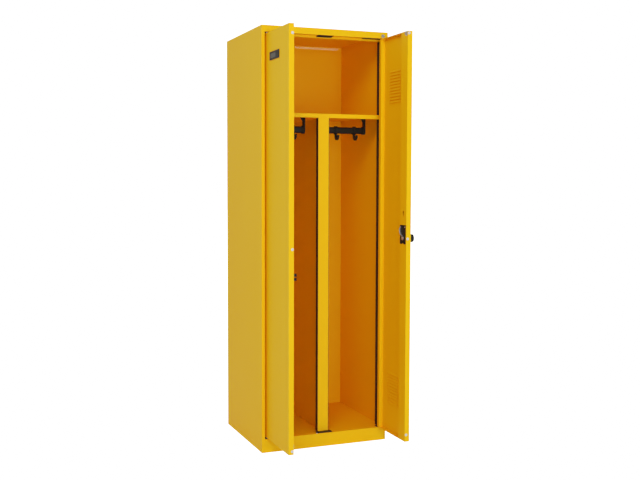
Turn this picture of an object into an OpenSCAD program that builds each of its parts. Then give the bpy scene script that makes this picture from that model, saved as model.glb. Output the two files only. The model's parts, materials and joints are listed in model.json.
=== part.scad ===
// Two-door sheet-steel wardrobe locker: a hat compartment over two hanging compartments.
// Frame: +Z up, +Y to the back, +X to the right seen from the front.
// The origin is on the floor, in the middle of the plinth's foot. The doors are drawn open.

/* [Carcass] */
// Overall width of the carcass
body_w = 600; // [560:10:800]
// Overall depth of the carcass without the doors
body_d = 500; // [450:10:550]
// Overall height of the carcass
body_h = 1850; // [1700:10:1950]
// Thickness of all carcass and door sheet
sheet = 1; // [0.8:0.1:1.5]
// Width of the side panels' front strips
strip_w = 14; // [12:1:20]
// Height of the front rail above the doors
rail_h = 28; // [24:1:40]
// Height of the plinth below the doors
plinth_h = 60; // [50:5:100]
// Depth of the door rebate, from the front plane to the stop faces
rebate_d = 27; // [26:1:30]

/* [Interior] */
// Top face of the hat shelf above the floor
shelf_z = 1483; // [1300:5:1550]
// Depth of the folded edge round the shelf
shelf_fold = 18; // [12:1:25]
// Width of the centre post
post_w = 50; // [40:2:60]
// Height of the coat rails' centre line
coat_rail_z = 1417; // [1250:5:1430]
// Distance of the coat rails behind the front plane
coat_rail_back = 130; // [120:5:250]
// Distance between the two hooks of a rail
hook_pitch = 92; // [84:2:96]

/* [Doors] */
// How far the doors are drawn open
open_angle = 90; // [0:5:110]
// Thickness of a door leaf
leaf_t = 22; // [20:0.5:22]
// Distance of the outer door face in front of the hinge axis
leaf_front = 4; // [3:0.5:5]
// Gap between the two closed doors
door_gap = 4; // [3:0.5:6]
// Gap between a door and the rail above it, and the ledge below it
door_clear = 6.5; // [6:0.5:8]
// Louvres in one group
louvre_count = 11; // [5:1:13]
// Height from one louvre to the next
louvre_pitch = 13.2; // [12:0.2:16]
// Length of a louvre
louvre_w = 100; // [60:5:120]

/* [Fittings] */
// Diameter of the door hinge pins
pin_d = 7; // [5:1:7]
// Height of the turning knob's axis
knob_z = 942; // [850:5:1000]
// Diameter of the turning knob
knob_d = 36; // [30:1:38]
// Diameter of the locking bolts
bolt_d = 8; // [6:1:8]

/* [Hidden] */
$fn = 48;
half_w = body_w / 2;
foot_w = 16;
front_y = -foot_w / 2;
back_y = front_y + body_d;
rebate_x = half_w - strip_w;
rebate_top = body_h - rail_h;
stop_y = front_y + rebate_d;
stop_w = 13;
stop_x = rebate_x - stop_w;
return_d = 21;
vent_x = 165;
lip = 10;
floor_z = plinth_h - 4;
shelf_under = shelf_z - shelf_fold;
seal_t = 2;
pivot_x = rebate_x - 12;
pivot_y = front_y + 2 + leaf_front;
leaf_back = leaf_t - leaf_front;
leaf_end = pivot_x - door_gap / 2;
leaf_heel = 9;
leaf_low = plinth_h + door_clear;
leaf_high = rebate_top - door_clear;
leaf_mid = (leaf_low + leaf_high) / 2;
stile_w = 38;
bevel_u = 22;
bevel_v = 11;
lock_stile_w = 57;
bolt_u = leaf_end - 30;
bolt_v = 5;
rail_y = front_y + coat_rail_back;
bay_mid = half_w / 2;
bracket_half = 94;
tube_h = 30;
tube_w = 15;
slide_fit = 0.05;
spindle_d = 16;
bush_d = pin_d + 2;
yellow = [0.93, 0.72, 0.05];
black = [0.06, 0.06, 0.065];
zinc = [0.75, 0.76, 0.78];
pale = [0.85, 0.84, 0.82];

// ---- helpers -------------------------------------------------------------
// A box from its low corner to its high corner
module block(low, high) {
    translate(low) cube([for (i = [0:2]) high[i] - low[i]]);
}

// Draws its children on the right side, and their mirror image on the left
module left_of() {
    mirror([1, 0, 0]) children();
}

// Places a leaf drawn along +X from its hinge axis, with its outer face towards -Y
module left_leaf() {
    translate([-pivot_x, pivot_y, 0]) rotate([0, 0, -open_angle]) children();
}

module right_leaf() {
    left_of() left_leaf() children();
}

// An upright bar with an oval section, seen along X
module oval_bar(length, high, wide) {
    rotate([0, 90, 0]) linear_extrude(length) oval(high, wide);
}

// An oval with its long side along X before it is turned
module oval(high, wide) {
    union() {
        square([high - wide, wide], center = true);
        for (s = [-1, 1]) translate([s * (high - wide) / 2, 0]) circle(d = wide);
    }
}

// ---- carcass -------------------------------------------------------------
// One folded side: wall, front strip, rebate, stop face, stop return and back flange
module side_panel() {
    block([half_w - sheet, front_y, 0], [half_w, back_y, body_h]);
    block([rebate_x, front_y, 0], [half_w, front_y + sheet, body_h]);
    block([rebate_x, front_y, plinth_h], [rebate_x + sheet, stop_y + sheet, rebate_top]);
    block([stop_x, stop_y, plinth_h], [rebate_x + sheet, stop_y + sheet, rebate_top]);
    block([stop_x, stop_y, plinth_h], [stop_x + sheet, stop_y + return_d, rebate_top - lip]);
    block([half_w - foot_w, back_y - sheet, 0], [half_w, back_y, body_h]);
    block([half_w - foot_w, front_y + foot_w, 0], [half_w, back_y, sheet]);
}

module right_side_panel() {
    color(yellow) side_panel();
}

module left_side_panel() {
    color(yellow) left_of() side_panel();
}

// One group of ventilation holes: two rows, staggered by half a pitch
module vent_group() {
    hole_pitch = 16;
    for (row = [0, 1], i = [0 : 14 - row])
        translate([(i - 7 + row / 2) * hole_pitch, back_y, body_h - 7.5 - row * 5])
            rotate([90, 0, 0]) cylinder(d = 2.8, h = 10, center = true);
}

module back_panel() {
    color(yellow) difference() {
        block([sheet - half_w, back_y - 2 * sheet, floor_z],
            [half_w - sheet, back_y - sheet, body_h - sheet]);
        for (s = [-1, 1]) translate([s * vent_x, 0, 0]) vent_group();
    }
}

// Roof sheet with the front rail, the rebate's ceiling and the upper stop lip folded down from it
module roof_panel() {
    color(yellow) difference() {
        union() {
            block([sheet - half_w, front_y + sheet, body_h - sheet],
                [half_w - sheet, back_y - sheet, body_h]);
            block([-rebate_x, front_y, rebate_top], [rebate_x, front_y + sheet, body_h]);
            block([-rebate_x, front_y, rebate_top], [rebate_x, stop_y + sheet, rebate_top + sheet]);
            block([-stop_x, stop_y, rebate_top - lip], [stop_x, stop_y + sheet, rebate_top + sheet]);
            block([-stop_x, stop_y, rebate_top - lip], [stop_x, stop_y + 15, rebate_top - lip + sheet]);
        }
        for (s = [-1, 1]) {
            translate([s * pivot_x, pivot_y, rebate_top - 5]) cylinder(d = bush_d, h = 12);
            translate([s * (pivot_x - bolt_u), pivot_y + bolt_v, rebate_top - 5]) cylinder(d = 12, h = 12);
        }
        translate([rebate_x - 10, front_y, rebate_top + 11]) rotate([90, 0, 0])
            cylinder(d = 10, h = 10, center = true);
    }
}

// Floor sheet with the ledge under the doors and the plinth folded down from it
module floor_pan() {
    color(yellow) difference() {
        union() {
            block([sheet - half_w, stop_y, floor_z - sheet], [half_w - sheet, back_y - sheet, floor_z]);
            block([-rebate_x, stop_y, floor_z - sheet], [rebate_x, stop_y + sheet, plinth_h]);
            block([-rebate_x, front_y, plinth_h - sheet], [rebate_x, stop_y + sheet, plinth_h]);
            block([-rebate_x, front_y, 0], [rebate_x, front_y + sheet, plinth_h]);
            block([-rebate_x, front_y, 0], [rebate_x, front_y + foot_w, sheet]);
        }
        for (s = [-1, 1]) {
            translate([s * pivot_x, pivot_y, plinth_h - 5]) cylinder(d = bush_d, h = 10);
            translate([s * (pivot_x - bolt_u), pivot_y + bolt_v, plinth_h - 5]) cylinder(d = 12, h = 10);
        }
    }
}

// Hat shelf, folded down on all four sides, narrower between the stop returns
module hat_shelf() {
    inner = half_w - sheet - 0.2;
    neck = stop_x - seal_t - 0.2;
    front = stop_y + sheet;
    wide_from = stop_y + return_d + 1;
    back = back_y - 2 * sheet;
    color(yellow) {
        block([-neck, front, shelf_z - sheet], [neck, back, shelf_z]);
        block([-inner, wide_from, shelf_z - sheet], [inner, back, shelf_z]);
        block([-neck, front, shelf_under], [neck, front + sheet, shelf_z]);
        block([-neck, front, shelf_under], [neck, front + 12, shelf_under + sheet]);
        block([-inner, back - sheet, shelf_under], [inner, back, shelf_z]);
        for (s = [-1, 1]) {
            side = s > 0 ? inner - sheet : -inner;
            block([side, wide_from, shelf_under], [side + sheet, back, shelf_z]);
        }
    }
}

// Dividing wall behind the centre post, with flanges against the floor, the shelf and the back
module partition() {
    front = stop_y + sheet;
    back = back_y - 2 * sheet;
    color(yellow) {
        block([-sheet / 2, front, floor_z], [sheet / 2, back, shelf_under]);
        block([-sheet / 2, front + return_d, floor_z], [14, back, floor_z + sheet]);
        block([-sheet / 2, front + return_d, shelf_under - sheet], [14, back, shelf_under]);
        block([-sheet / 2, back - sheet, floor_z], [14, back, shelf_under]);
    }
}

// Folded centre post: a face that laps over the shelf's front edge, and two returns
module centre_post() {
    color(yellow) {
        block([-post_w / 2, stop_y, plinth_h], [post_w / 2, stop_y + sheet, shelf_z - 1]);
        for (x = [-post_w / 2, post_w / 2 - sheet])
            block([x, stop_y, plinth_h], [x + sheet, stop_y + return_d, shelf_under]);
    }
}

// A black edge profile, pressed over one return and cut at the shelf
module seal_strip(x, low, high) {
    block([x, stop_y + 0.4, low], [x + seal_t, stop_y + return_d + 0.4, high]);
}

module right_stop_seals() {
    color(black) {
        seal_strip(stop_x - seal_t, plinth_h + 1, shelf_under - 1);
        seal_strip(stop_x - seal_t, shelf_z + 1, rebate_top - lip - 1);
    }
}

module left_stop_seals() {
    left_of() right_stop_seals();
}

module centre_post_seals() {
    color(black) {
        seal_strip(post_w / 2, plinth_h + 1, shelf_under - 1);
        seal_strip(-post_w / 2 - seal_t, plinth_h + 1, shelf_under - 1);
    }
}

// ---- fixed fittings ------------------------------------------------------
// Angle with two bolt holes; its upright leg lies on the stop lip
module upper_keeper() {
    half = 36;
    color(black) difference() {
        union() {
            block([-half, front_y + 3, rebate_top - 3], [half, stop_y, rebate_top]);
            block([-half, stop_y - 2, rebate_top - 6], [half, stop_y, rebate_top]);
        }
        for (s = [-1, 1]) translate([s * (pivot_x - bolt_u), pivot_y + bolt_v, rebate_top - 5])
            cylinder(d = bolt_d + 2, h = 10);
    }
}

// Flat plate with two bolt holes on the ledge
module lower_keeper() {
    half = 36;
    color(black) difference() {
        block([-half, front_y + 3, plinth_h], [half, stop_y, plinth_h + 3]);
        for (s = [-1, 1]) translate([s * (pivot_x - bolt_u), pivot_y + bolt_v, plinth_h - 1])
            cylinder(d = bolt_d + 2, h = 5);
    }
}

// A plate that carries the bush of one hinge pin; reach is its length towards the middle
module pivot_plate(low, reach) {
    difference() {
        block([pivot_x - reach, front_y + 0.5, low], [pivot_x + 8, stop_y, low + 2]);
        translate([pivot_x, pivot_y, low - 1]) cylinder(d = bush_d, h = 4);
    }
}

module upper_pivot_plates() {
    color(black) for (s = [0, 1]) mirror([s, 0, 0]) pivot_plate(rebate_top - 2, 90);
}

module lower_pivot_plates() {
    color(black) for (s = [0, 1]) mirror([s, 0, 0]) pivot_plate(plinth_h, 14);
}

// Plain bush with a collar: the pin turns in it
module pivot_bush() {
    difference() {
        union() {
            cylinder(d = bush_d, h = 7);
            translate([0, 0, -1]) cylinder(d = bush_d + 2, h = 1);
        }
        translate([0, 0, -2]) cylinder(d = pin_d + 2 * slide_fit, h = 12);
    }
}

module pivot_bushes() {
    color(black) for (s = [-1, 1]) {
        translate([s * pivot_x, pivot_y, rebate_top - 2]) pivot_bush();
        translate([s * pivot_x, pivot_y, plinth_h + 2]) mirror([0, 0, 1]) pivot_bush();
    }
}

// Flat round plug in the front rail, above the right door's hinge
module rail_plug() {
    color(zinc) translate([rebate_x - 10, front_y, rebate_top + 11]) rotate([90, 0, 0]) {
        cylinder(d = 16, h = 1.2);
        translate([0, 0, -4]) cylinder(d = 10, h = 4);
    }
}

// ---- coat rails ----------------------------------------------------------
module coat_rail() {
    length = 2 * bracket_half;
    color(black) translate([bay_mid - bracket_half, rail_y, coat_rail_z]) difference() {
        oval_bar(length, tube_h, tube_w);
        translate([-1, 0, 0]) oval_bar(length + 2, tube_h - 3, tube_w - 3);
    }
}

module right_coat_rail() {
    coat_rail();
}

module left_coat_rail() {
    left_of() coat_rail();
}

// Hanger: a flange under the shelf, a leg with a gusset, and an oval cup round the rail's end
module rail_bracket() {
    leg_t = 5;
    top = shelf_z - sheet;
    difference() {
        union() {
            block([0, rail_y - 12, coat_rail_z], [leg_t, rail_y + 12, top]);
            block([-22, rail_y - 12, top - 3], [leg_t, rail_y + 12, top]);
            translate([0, rail_y + 2, 0]) rotate([90, 0, 0]) linear_extrude(4)
                polygon([[0, top - 34], [0, top - 3], [-19, top - 3]]);
            translate([-9, rail_y, coat_rail_z]) oval_bar(9 + leg_t, tube_h + 6, tube_w + 9);
        }
        translate([-10, rail_y, coat_rail_z]) oval_bar(10, tube_h, tube_w);
        for (y = [-7, 7]) translate([-15, rail_y + y, top - 4]) cylinder(d = 4, h = 5);
    }
}

module right_rail_brackets() {
    color(black) {
        translate([bay_mid + bracket_half, 0, 0]) rail_bracket();
        translate([bay_mid - bracket_half, 0, 0]) left_of() rail_bracket();
    }
}

module left_rail_brackets() {
    left_of() right_rail_brackets();
}

// Pan-head screws, driven up into the shelf
module bracket_screws() {
    top = shelf_z - sheet;
    color(zinc) for (bay = [-1, 1], end = [-1, 1], y = [-7, 7])
        translate([bay * bay_mid + end * (bracket_half - 15), rail_y + y, 0]) {
            translate([0, 0, top - 5.5]) cylinder(d = 7, h = 2.5);
            translate([0, 0, top - 3]) cylinder(d = 4, h = 3);
        }
}

// Sliding hook: a sleeve on the oval rail, and a J that points to the front
module coat_hook(x) {
    sleeve_w = 12;
    stem = 9;
    reach = 14;
    low = coat_rail_z - 27;
    color(black) translate([x - sleeve_w / 2, rail_y, 0]) difference() {
        union() {
            translate([0, 0, coat_rail_z]) oval_bar(sleeve_w, tube_h + 8, tube_w + 8);
            block([2, -stem / 2, low], [10, stem / 2, coat_rail_z - tube_h / 2 - 2]);
            translate([2, -reach, low]) rotate([90, 0, 90]) half_ring(reach, stem, 8);
            translate([2, -2 * reach, low]) rotate([0, 90, 0]) cylinder(d = stem + 2, h = 8);
        }
        translate([-1, 0, coat_rail_z])
            oval_bar(sleeve_w + 2, tube_h + 2 * slide_fit, tube_w + 2 * slide_fit);
    }
}

// Lower half of a flat ring, for the bend of a hook
module half_ring(radius, stem, wide) {
    linear_extrude(wide) difference() {
        circle(r = radius + stem / 2);
        circle(r = radius - stem / 2);
        translate([-2 * radius, 0]) square([4 * radius, 2 * radius]);
    }
}

module right_hook_outer() {
    coat_hook(bay_mid + hook_pitch / 2);
}

module right_hook_inner() {
    coat_hook(bay_mid - hook_pitch / 2);
}

module left_hook_outer() {
    coat_hook(-bay_mid - hook_pitch / 2);
}

module left_hook_inner() {
    coat_hook(-bay_mid + hook_pitch / 2);
}

// ---- door leaves, each drawn along +X from its hinge axis -----------------
// Heights of the louvres' middles, in a lower and an upper group
function louvre_heights() = [for (group = [-677, 658], i = [0 : louvre_count - 1])
    leaf_mid + group + (i - (louvre_count - 1) / 2) * louvre_pitch];

// Inner sheet between the stiles: louvres stand proud of it, each open along its lower edge.
// It stops short of the upper fold, so air passes between it and the outer sheet
module leaf_lining() {
    back = -leaf_front + sheet + 2;
    rise = 4.5;
    air_gap = 9;
    start = (leaf_end - leaf_heel - louvre_w) / 2;
    difference() {
        block([stile_w - leaf_heel, back, leaf_low + sheet],
            [leaf_end - lock_stile_w, back + sheet, leaf_high - air_gap]);
        for (z = louvre_heights()) block([start + sheet, back - 1, z - rise + sheet],
            [start + louvre_w - sheet, back + sheet + 1, z + rise - sheet]);
    }
    for (z = louvre_heights()) translate([start, back + sheet, z]) rotate([90, 0, 90]) louvre(rise);
}

// A pressed louvre with closed ends, along +Z before it is turned; its hood slopes out and down
module louvre(rise) {
    difference() {
        linear_extrude(louvre_w) polygon([[0, rise], [rise, sheet - rise], [rise, -rise], [0, -rise]]);
        translate([0, 0, sheet]) linear_extrude(louvre_w - 2 * sheet)
            polygon([[-1, rise - 1], [rise - 1, -rise], [rise - 1, -rise - 1], [-1, -rise - 1]]);
    }
}

// Folded outer pan of a leaf
module leaf_pan() {
    face = -leaf_front;
    difference() {
        union() {
            block([-leaf_heel, face, leaf_low], [leaf_end, face + sheet, leaf_high]);
            block([-leaf_heel, face, leaf_low], [sheet - leaf_heel, leaf_back - bevel_v, leaf_high]);
            block([leaf_end - sheet, face, leaf_low], [leaf_end, leaf_back, leaf_high]);
            for (z = [leaf_low, leaf_high - sheet]) translate([0, 0, z]) linear_extrude(sheet)
                polygon([[-leaf_heel, face], [leaf_end, face], [leaf_end, leaf_back],
                    [bevel_u - leaf_heel, leaf_back], [-leaf_heel, leaf_back - bevel_v]]);
        }
        for (z = [leaf_low - 1, leaf_high - 2]) translate([0, 0, z]) cylinder(d = pin_d, h = 3);
    }
}

// Folded box along the hinge edge; a broad bevel thins the leaf towards its heel
module leaf_hinge_stile() {
    inner = stile_w - leaf_heel;
    low = leaf_low + sheet;
    high = leaf_high - sheet;
    flat = bevel_u - leaf_heel;
    heel = sheet - leaf_heel;
    block([flat, leaf_back - sheet, low], [inner, leaf_back, high]);
    block([inner - sheet, sheet - leaf_front, low], [inner, leaf_back, high]);
    translate([0, 0, low]) linear_extrude(high - low)
        polygon([[heel, leaf_back - bevel_v - sheet], [heel, leaf_back - bevel_v],
            [flat, leaf_back], [flat + 1, leaf_back - sheet]]);
}

// Folded box along the free edge; it carries the bolts
module leaf_lock_stile() {
    low = leaf_low + sheet;
    high = leaf_high - sheet;
    start = leaf_end - lock_stile_w;
    block([start, leaf_back - sheet, low], [leaf_end - sheet, leaf_back, high]);
    block([start, sheet - leaf_front, low], [start + sheet, leaf_back, high]);
}

// Hinge pins, riveted into the leaf's folds
module hinge_pins() {
    color(zinc) {
        translate([0, 0, leaf_high - 12]) cylinder(d = pin_d, h = 12 + door_clear + 5);
        translate([0, 0, leaf_low - door_clear - 5]) cylinder(d = pin_d, h = 12 + door_clear + 5);
    }
}

// Rubber buffers on the free edge, at the heights given
module edge_buffers(heights) {
    color(pale) for (z = heights) translate([leaf_end, leaf_back - 6.5, z]) rotate([0, 90, 0]) {
        cylinder(d = 12, h = 1.2);
        translate([0, 0, 1.2]) cylinder(d1 = 12, d2 = 9, h = 1.2);
    }
}

// Moulded corner piece with a screw hole, wider at its upper end
module corner_guide(low) {
    end = leaf_end - 1;
    high = low + 19;
    color(pale) difference() {
        translate([0, leaf_back + 1.6, 0]) rotate([90, 0, 0]) linear_extrude(1.6)
            polygon([[end - 23, high], [end, high], [end, low], [end - 11, low], [end - 23, high - 10]]);
        translate([end - 7, leaf_back - 1, low + 10]) rotate([-90, 0, 0]) cylinder(d = 5, h = 4);
    }
}

// ---- left door -----------------------------------------------------------
module left_door_skin() {
    color(yellow) left_leaf() leaf_pan();
}

module left_door_lining() {
    color(yellow) left_leaf() leaf_lining();
}

module left_hinge_stile() {
    color(yellow) left_leaf() leaf_hinge_stile();
}

module left_lock_stile() {
    color(yellow) left_leaf() leaf_lock_stile();
}

module left_hinge_pins() {
    left_leaf() hinge_pins();
}

module left_door_buffers() {
    left_leaf() edge_buffers([leaf_low + 14, leaf_mid - 31, leaf_high - 38]);
}

module left_corner_guide() {
    left_leaf() corner_guide(leaf_low + 22);
}

// Catch that bears on the side of the centre post when the door is shut
module left_door_catch() {
    u = leaf_end - 44;
    z = leaf_mid - 162;
    color(black) left_leaf() difference() {
        union() {
            block([u, leaf_back, z - 14], [u + 13, leaf_back + 3, z + 28]);
            block([u, leaf_back, z], [u + 13, leaf_back + 24, z + 28]);
        }
        block([u - 1, leaf_back + 8, z + 11], [u + 14, leaf_back + 25, z + 17]);
    }
}

// Label frame on the outer face, with its card
module label_holder() {
    color(black) left_leaf() translate([107, -leaf_front, leaf_high - 105]) difference() {
        block([-56, -2.5, -17], [56, 0, 17]);
        block([-47, -3, -10], [47, -1.2, 10]);
    }
}

module label_card() {
    color([0.55, 0.55, 0.56]) left_leaf() translate([107, -leaf_front, leaf_high - 105])
        block([-47, -1.7, -10], [14, -1.2, 10]);
    color([0.3, 0.3, 0.31]) left_leaf() translate([107, -leaf_front, leaf_high - 105])
        block([14, -1.7, -10], [47, -1.2, 10]);
}

// ---- right door ----------------------------------------------------------
module right_door_skin() {
    color(yellow) right_leaf() difference() {
        leaf_pan();
        translate([bolt_u, 0, knob_z]) rotate([90, 0, 0]) cylinder(d = 18, h = 12);
        for (z = [leaf_low - 1, leaf_high - 2])
            translate([bolt_u, bolt_v, z]) cylinder(d = bolt_d + 2, h = 3);
    }
}

module right_door_lining() {
    color(yellow) right_leaf() leaf_lining();
}

module right_hinge_stile() {
    color(yellow) right_leaf() leaf_hinge_stile();
}

// The lock stile is cut out for the lock case, with a keyhole-shaped slot above it
module right_lock_stile() {
    u = bolt_u;
    color(yellow) right_leaf() difference() {
        leaf_lock_stile();
        difference() {
            block([u - 25, leaf_back - 2, knob_z - 25], [u + 25, leaf_back + 1, knob_z + 57]);
            case_notch(14);
        }
        translate([u + 2, leaf_back, knob_z + 112]) rotate([90, 0, 0]) cylinder(d = 11, h = 6, center = true);
        block([u - 1, leaf_back - 2, knob_z + 95], [u + 5, leaf_back + 1, knob_z + 110]);
    }
}

module right_hinge_pins() {
    right_leaf() hinge_pins();
}

module right_door_buffers() {
    right_leaf() edge_buffers([leaf_low + 30, leaf_mid, leaf_high - 9]);
}

module right_corner_guide() {
    right_leaf() corner_guide(leaf_high - 20);
}

// V-shaped notch at the lower end of the lock case; the stile's sheet fills it
module case_notch(side) {
    translate([bolt_u, 20, knob_z - 29]) rotate([90, 45, 0]) translate([-side / 2, -side / 2, 0])
        cube([side, side, 24]);
}

// Moulded lock case, let into the stile, notched at its lower end
module lock_case() {
    u = bolt_u;
    face = leaf_back + 1.2;
    color(black) right_leaf() difference() {
        block([u - 24.5, sheet - leaf_front + 0.2, knob_z - 24.5], [u + 24.5, face, knob_z + 56.5]);
        // Chamber of the cam, and the ways of the two bolts into it
        block([u - 15, -1, knob_z - 15], [u + 15, 11, knob_z + 15]);
        translate([u, bolt_v, knob_z - 30]) cylinder(d = bolt_d + 2 * slide_fit, h = 92);
        // Way of the spindle
        translate([u, 20, knob_z]) rotate([90, 0, 0]) cylinder(d = spindle_d + 2 * slide_fit, h = 30);
        case_notch(18);
        for (s = [-1, 1]) translate([u + s * 18, 20, knob_z + 48]) rotate([90, 0, 0]) cylinder(d = 4, h = 16);
    }
}

// Curved steel guard that stands on the case's face, from its hinge side down to the spindle
module lock_ring() {
    radius = 24.4;
    color(zinc) right_leaf() translate([bolt_u, leaf_back + 1.2, knob_z + 35]) rotate([-90, 0, 0])
        difference() {
            cylinder(r = radius, h = 5);
            translate([0, 0, -1]) cylinder(r = radius - 2.5, h = 7);
            translate([0, -30, -1]) cube([30, 60, 7]);
            translate([-30, -40, -1]) cube([60, 30, 7]);
        }
}

module lock_screws() {
    color(zinc) right_leaf() for (s = [-1, 1])
        translate([bolt_u + s * 18, leaf_back + 1.2, knob_z + 48]) rotate([-90, 0, 0]) {
            cylinder(d = 6, h = 1);
            translate([0, 0, -8]) cylinder(d = 4, h = 8);
        }
}

// Spindle between the knob and the inner end of the lock
module lock_spindle() {
    color(zinc) right_leaf() translate([bolt_u, 0, knob_z]) rotate([-90, 0, 0])
        translate([0, 0, -leaf_front - 2]) difference() {
            cylinder(d = spindle_d, h = leaf_t + 4.5);
            translate([-6, -0.8, leaf_t + 3]) cube([12, 1.6, 3]);
        }
}

// Cam plate on the spindle, with two lobes behind the bolts' ends
module lock_cam() {
    color(zinc) right_leaf() translate([bolt_u, 9.3, knob_z]) rotate([-90, 0, 0]) difference() {
        union() {
            cylinder(d = 22, h = 1.4);
            translate([-13, -4, 0]) cube([26, 8, 1.4]);
        }
        translate([0, 0, -1]) cylinder(d = spindle_d, h = 4);
    }
}

// Round knob with two finger hollows in its face, which leave a bar between them
module turning_knob() {
    color(black) right_leaf() translate([bolt_u, -leaf_front - 0.4, knob_z]) rotate([90, 0, 0])
        difference() {
            union() {
                cylinder(d = knob_d - 4, h = 3);
                translate([0, 0, 3]) cylinder(d1 = knob_d, d2 = knob_d - 2, h = 20);
            }
            for (s = [0, 1]) mirror([s, 0, 0]) translate([0, 0, 14]) intersection() {
                cylinder(d = knob_d - 8, h = 10);
                translate([5, -knob_d, 0]) cube([knob_d, 2 * knob_d, 10]);
            }
            translate([0, 0, -1]) cylinder(d = spindle_d, h = 2.6);
        }
}

module upper_bolt() {
    low = knob_z + 16;
    color(zinc) right_leaf() translate([bolt_u, bolt_v, low]) cylinder(d = bolt_d, h = leaf_high - 2 - low);
}

module lower_bolt() {
    high = knob_z - 16;
    color(zinc) right_leaf() translate([bolt_u, bolt_v, leaf_low + 2])
        cylinder(d = bolt_d, h = high - leaf_low - 2);
}

// Moulded guides that hold the bolts in the stile
module bolt_guides() {
    color(pale) right_leaf() for (z = [leaf_low + 40, leaf_low + 430, leaf_high - 440, leaf_high - 60])
        difference() {
            block([bolt_u - 12, sheet - leaf_front, z], [bolt_u + 12, leaf_back - sheet, z + 18]);
            translate([bolt_u, bolt_v, z - 1]) cylinder(d = bolt_d + 2 * slide_fit, h = 20);
        }
}

// ---- one line per node ---------------------------------------------------
left_side_panel();
right_side_panel();
back_panel();
roof_panel();
floor_pan();
hat_shelf();
partition();
centre_post();
left_stop_seals();
right_stop_seals();
centre_post_seals();
upper_keeper();
lower_keeper();
upper_pivot_plates();
lower_pivot_plates();
pivot_bushes();
rail_plug();
left_coat_rail();
right_coat_rail();
left_rail_brackets();
right_rail_brackets();
bracket_screws();
left_hook_outer();
left_hook_inner();
right_hook_inner();
right_hook_outer();
left_door_skin();
left_door_lining();
left_hinge_stile();
left_lock_stile();
left_hinge_pins();
left_door_buffers();
left_corner_guide();
left_door_catch();
label_holder();
label_card();
right_door_skin();
right_door_lining();
right_hinge_stile();
right_lock_stile();
right_hinge_pins();
right_door_buffers();
right_corner_guide();
lock_case();
lock_ring();
lock_screws();
lock_spindle();
lock_cam();
turning_knob();
upper_bolt();
lower_bolt();
bolt_guides();
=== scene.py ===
"""Looks of a two-door sheet-steel wardrobe locker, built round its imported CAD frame."""
import json
import math

import bpy
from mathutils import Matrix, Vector

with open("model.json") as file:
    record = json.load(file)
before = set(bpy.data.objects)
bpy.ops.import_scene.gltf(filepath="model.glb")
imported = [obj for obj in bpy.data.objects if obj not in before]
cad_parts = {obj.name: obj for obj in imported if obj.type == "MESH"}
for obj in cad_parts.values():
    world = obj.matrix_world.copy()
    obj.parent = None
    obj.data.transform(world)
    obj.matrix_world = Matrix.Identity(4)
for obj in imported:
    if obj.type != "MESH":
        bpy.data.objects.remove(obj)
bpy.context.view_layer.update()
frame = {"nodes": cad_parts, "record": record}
nodes = frame["nodes"]
scene = bpy.context.scene

# ---- named values: metres and degrees; lens and sensor in millimetres -------
CAMERA_AT = (-1.5665, -3.6101, 1.1939)
CAMERA_YAW = 20.548
CAMERA_PITCH = 3.267
CAMERA_LENS = 50.0
CAMERA_SENSOR = 36.0
CAMERA_SHIFT = (0.0625, -0.0156)
CAMERA_REACH = 60.0

EDGE_ROUND = 0.0004
EDGE_ANGLE = 40.0          # edges that turn by more than this are rounded

CARD_SPLIT_Y = -0.123      # where the card's dark part meets its grey part
CARD_SPLIT_BLUR = 0.001

FLOOR_SIZE = 60.0
FLOOR_GLOW = 1.8           # seen by the camera only
BACKDROP_GLOW = 2.0        # seen by the camera only

# Light that the room gives, by direction. A rise is the span of a direction's
# component over which the light climbs from dim to its full level.
ROOM_DIM = 0.35
COVE_RISE, COVE_LIGHT = (0.2, 0.7), 0.80
CEILING_RISE, CEILING_LIGHT = (0.4, 0.9), 0.70

LAMPS = (
    # name, place, point it faces, size, power in watts
    ("front_key", (0.9, -4.4, 2.7), (0, 0, 1.1), (2.2, 1.6), 10),
    ("upper_left", (-2.0, -2.6, 3.6), (0.1, 0, 1.0), (1.4, 1.4), 46),
    ("front_fill", (-0.6, -4.4, 1.0), (0, 0, 0.5), (2.0, 2.0), 62),
)

# The curve turns scene light, as a share of the white level, into display level.
WHITE_LEVEL = 2
TONE_POINTS = ((0.05, 0.1), (0.15, 0.3), (0.25, 0.5), (0.415, 0.67), (0.525, 0.82), (0.8, 1.0))


# ---- camera ---------------------------------------------------------------
def make_camera():
    """The photograph's view: from the left, at about two thirds of the locker's height."""
    data = bpy.data.cameras.new("camera")
    camera = bpy.data.objects.new("camera", data)
    scene.collection.objects.link(camera)
    camera.location = CAMERA_AT
    camera.rotation_euler = (math.radians(90 - CAMERA_PITCH), 0, math.radians(-CAMERA_YAW))
    data.lens = CAMERA_LENS
    data.sensor_width = CAMERA_SENSOR
    data.shift_x, data.shift_y = CAMERA_SHIFT
    data.clip_end = CAMERA_REACH
    scene.camera = camera


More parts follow.
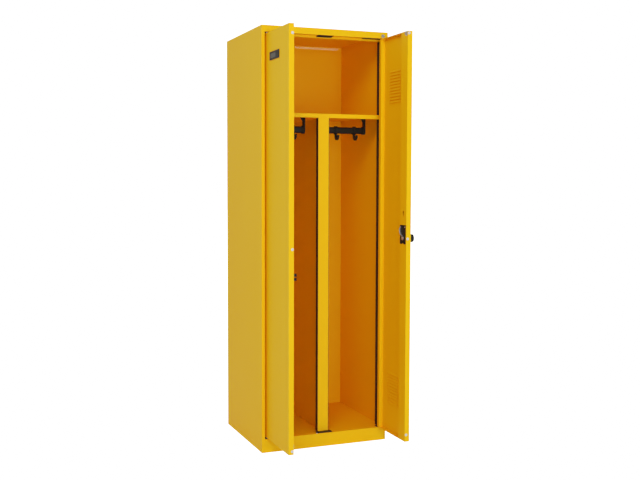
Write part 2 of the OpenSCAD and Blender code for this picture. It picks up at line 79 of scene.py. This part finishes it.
# ---- node helpers ---------------------------------------------------------
class Graph:
    """A material's node tree, with short ways to add and link nodes."""

    # The Mix node has sockets of one name for each data type; these are the colour ones.
    MIX_FACTOR, MIX_FIRST, MIX_SECOND, MIX_RESULT = 0, 6, 7, 2

    def __init__(self, name):
        self.material = bpy.data.materials.new(name)
        self.material.use_nodes = True
        self.tree = self.material.node_tree
        self.shader = self.tree.nodes["Principled BSDF"]

    def add(self, kind, **settings):
        """Adds a node; a setting goes to the input of that name, or else to the node."""
        node = self.tree.nodes.new(kind)
        for key, value in settings.items():
            if key in node.inputs:
                node.inputs[key].default_value = value
            else:
                setattr(node, key, value)
        return node

    def link(self, source, target):
        self.tree.links.new(source, target)

    def place(self):
        return self.add("ShaderNodeTexCoord").outputs["Object"]

    def noise(self, scale, detail=2.0):
        node = self.add("ShaderNodeTexNoise", Scale=scale, Detail=detail)
        self.link(self.place(), node.inputs["Vector"])
        return node.outputs["Fac"]

    def span(self, value, low, high, start=0.0, end=1.0):
        """Maps a value between start and end to low to high."""
        node = self.add("ShaderNodeMapRange")
        node.inputs["From Min"].default_value = start
        node.inputs["From Max"].default_value = end
        node.inputs["To Min"].default_value = low
        node.inputs["To Max"].default_value = high
        self.link(value, node.inputs["Value"])
        return node.outputs["Result"]

    def blend_colours(self, factor, first, second):
        """Mixes two colours; each is a tuple or another node's output."""
        node = self.add("ShaderNodeMix", data_type="RGBA")
        for index, colour in ((self.MIX_FIRST, first), (self.MIX_SECOND, second)):
            if isinstance(colour, tuple):
                node.inputs[index].default_value = (*colour, 1)
            else:
                self.link(colour, node.inputs[index])
        self.link(factor, node.inputs[self.MIX_FACTOR])
        return node.outputs[self.MIX_RESULT]

    def colour(self, output):
        self.link(output, self.shader.inputs["Base Color"])

    def roughness(self, scale, low, high, detail=2.0):
        """Roughness that wanders between low and high."""
        self.link(self.span(self.noise(scale, detail), low, high), self.shader.inputs["Roughness"])

    def bump(self, height, strength, distance):
        node = self.add("ShaderNodeBump", Strength=strength, Distance=distance)
        self.link(height, node.inputs["Height"])
        self.link(node.outputs["Normal"], self.shader.inputs["Normal"])

    def set(self, **settings):
        """Sets the shader's own sockets; an underscore stands for a space."""
        for key, value in settings.items():
            self.shader.inputs[key.replace("_", " ")].default_value = value


# ---- materials ------------------------------------------------------------
def powder_coat():
    """Traffic-yellow powder coat: even colour, with a fine orange-peel surface."""
    g = Graph("powder_coat")
    g.colour(g.blend_colours(g.noise(3.0, 3.0), (0.965, 0.480, 0.002), (0.99, 0.505, 0.003)))
    g.roughness(90.0, 0.46, 0.56)
    g.bump(g.noise(650.0), strength=0.08, distance=0.0004)
    g.set(Specular_IOR_Level=0.12)
    return g.material


def grained_black(name, smoothest, roughest, grain):
    """Near-black part with a fine grain: spark-eroded plastic, or a textured coat on steel."""
    g = Graph(name)
    g.colour(g.blend_colours(g.noise(120.0), (0.010, 0.010, 0.008), (0.018, 0.018, 0.015)))
    g.roughness(300.0, smoothest, roughest)
    g.bump(g.noise(grain, 3.0), strength=0.25, distance=0.0003)
    g.set(Specular_IOR_Level=0.2)
    return g.material


def seal_rubber_with_gap_shade():
    """Matt black rubber; its brown cast is painted shade, the dim orange-brown of a deep gap in the
    yellow paint.
    """
    g = Graph("black_seal")
    # painted shade: the brown cast stands for light bounced into a deep gap off the yellow paint
    g.colour(g.blend_colours(g.noise(60.0), (0.028, 0.010, 0.002), (0.040, 0.016, 0.003)))
    g.roughness(200.0, 0.7, 0.85)
    g.bump(g.noise(900.0), strength=0.2, distance=0.0002)
    return g.material


def zinc_plate():
    """Bright zinc plate with a faint mottle."""
    g = Graph("zinc")
    g.colour(g.blend_colours(g.noise(220.0, 4.0), (0.66, 0.67, 0.68), (0.80, 0.80, 0.81)))
    g.roughness(350.0, 0.26, 0.40, detail=3.0)
    g.bump(g.noise(1400.0), strength=0.1, distance=0.0001)
    g.set(Metallic=0.75)
    return g.material


def pale_moulding(name, dark, light):
    """Pale rubber or plastic that lets a little light in."""
    g = Graph(name)
    g.colour(g.blend_colours(g.noise(80.0), dark, light))
    g.roughness(260.0, 0.44, 0.56)
    g.bump(g.noise(900.0), strength=0.15, distance=0.0002)
    g.set(Subsurface_Weight=0.08, Subsurface_Scale=0.002)
    return g.material


def blank_card():
    """Grey insert with a near-black part on the side of the door's free edge."""
    g = Graph("card")
    across = g.add("ShaderNodeSeparateXYZ")
    g.link(g.place(), across.inputs["Vector"])
    grey = g.blend_colours(g.noise(400.0, 4.0), (0.095, 0.095, 0.085), (0.125, 0.125, 0.112))
    beyond_split = g.span(across.outputs["Y"], 0.0, 1.0,
                          CARD_SPLIT_Y - CARD_SPLIT_BLUR / 2, CARD_SPLIT_Y + CARD_SPLIT_BLUR / 2)
    g.colour(g.blend_colours(beyond_split, (0.016, 0.015, 0.013), grey))
    g.set(Roughness=0.5, Specular_IOR_Level=0.2)
    g.bump(g.noise(2000.0), strength=0.05, distance=0.0001)
    return g.material


def paint_nodes():
    """Gives every CAD node the material of its slot."""
    materials = {
        "powder_coat": powder_coat(),
        "black_plastic": grained_black("black_plastic", 0.42, 0.55, 1500.0),
        "black_steel": grained_black("black_steel", 0.30, 0.38, 800.0),
        "black_seal": seal_rubber_with_gap_shade(),
        "zinc": zinc_plate(),
        "buffer_rubber": pale_moulding("buffer_rubber", (0.66, 0.62, 0.60), (0.74, 0.71, 0.69)),
        "grey_plastic": pale_moulding("grey_plastic", (0.30, 0.31, 0.26), (0.38, 0.39, 0.34)),
        "card": blank_card(),
    }
    slots = {part["node"]: part["material_slot"] for part in frame["record"]["subparts"]}
    for name, node in nodes.items():
        node.data.materials.clear()
        node.data.materials.append(materials[slots[name]])


def soften_edges():
    """Rounds the CAD nodes' sharp edges a little, as folded sheet and mouldings are."""
    for node in nodes.values():
        bevel = node.modifiers.new("edge_round", "BEVEL")
        bevel.width = EDGE_ROUND
        bevel.segments = 2
        bevel.limit_method = "ANGLE"
        bevel.angle_limit = math.radians(EDGE_ANGLE)


# ---- stage and light ------------------------------------------------------
def make_stage():
    """A pale floor, which glows towards the camera so that it meets the backdrop without a seam."""
    bpy.ops.mesh.primitive_plane_add(size=FLOOR_SIZE, location=(0, 0, 0))
    floor = bpy.context.object
    floor.name = "studio_floor"
    g = Graph("studio_floor")
    g.set(Base_Color=(0.95, 0.95, 0.95, 1), Roughness=0.9, Specular_IOR_Level=0.2,
          Emission_Color=(1, 1, 1, 1))
    seen = g.add("ShaderNodeLightPath").outputs["Is Camera Ray"]
    g.link(g.span(seen, 0.0, FLOOR_GLOW), g.shader.inputs["Emission Strength"])
    floor.data.materials.append(g.material)


def area_light(name, place, target, size, power):
    """A rectangular soft box that faces its target."""
    data = bpy.data.lights.new(name, "AREA")
    data.shape = "RECTANGLE"
    data.size, data.size_y = size
    data.energy = power
    lamp = bpy.data.objects.new(name, data)
    scene.collection.objects.link(lamp)
    lamp.location = place
    lamp.rotation_euler = (Vector(target) - Vector(place)).to_track_quat("-Z", "Y").to_euler()


def light_studio():
    """A white cove behind and a bright ceiling in a dim room, with three soft boxes in front."""
    world = bpy.data.worlds.new("studio")
    scene.world = world
    world.use_nodes = True
    tree = world.node_tree

    def climb(component, rise, bright):
        """Light that climbs from dim to bright as one component of the direction rises."""
        ramp = tree.nodes.new("ShaderNodeMapRange")
        ramp.interpolation_type = "SMOOTHSTEP"
        ramp.inputs["From Min"].default_value, ramp.inputs["From Max"].default_value = rise
        ramp.inputs["To Min"].default_value = ROOM_DIM
        ramp.inputs["To Max"].default_value = bright
        tree.links.new(component, ramp.inputs["Value"])
        return ramp.outputs["Result"]

    coordinates = tree.nodes.new("ShaderNodeTexCoord")
    direction = tree.nodes.new("ShaderNodeSeparateXYZ")
    tree.links.new(coordinates.outputs["Generated"], direction.inputs["Vector"])
    glow = tree.nodes.new("ShaderNodeMath")
    glow.operation = "MAXIMUM"
    tree.links.new(climb(direction.outputs["Y"], COVE_RISE, COVE_LIGHT), glow.inputs[0])
    tree.links.new(climb(direction.outputs["Z"], CEILING_RISE, CEILING_LIGHT), glow.inputs[1])
    seen = tree.nodes.new("ShaderNodeLightPath")
    level = tree.nodes.new("ShaderNodeMix")
    tree.links.new(seen.outputs["Is Camera Ray"], level.inputs["Factor"])
    tree.links.new(glow.outputs["Value"], level.inputs["A"])
    level.inputs["B"].default_value = BACKDROP_GLOW
    background = tree.nodes["Background"]
    background.inputs["Color"].default_value = (1, 1, 1, 1)
    tree.links.new(level.outputs["Result"], background.inputs["Strength"])
    for lamp in LAMPS:
        area_light(*lamp)


def set_tone():
    """Plain colours with a soft shoulder, so the lit paint keeps its hue below white."""
    view = scene.view_settings
    view.view_transform = "Standard"
    view.look = "None"
    view.use_curve_mapping = True
    curve = view.curve_mapping
    curve.white_level = (WHITE_LEVEL,) * 3
    curve.extend = "HORIZONTAL"
    combined = curve.curves[3]
    for point in TONE_POINTS:
        combined.points.new(*point)
    curve.update()


make_camera()
paint_nodes()
soften_edges()
make_stage()
light_studio()
set_tone()
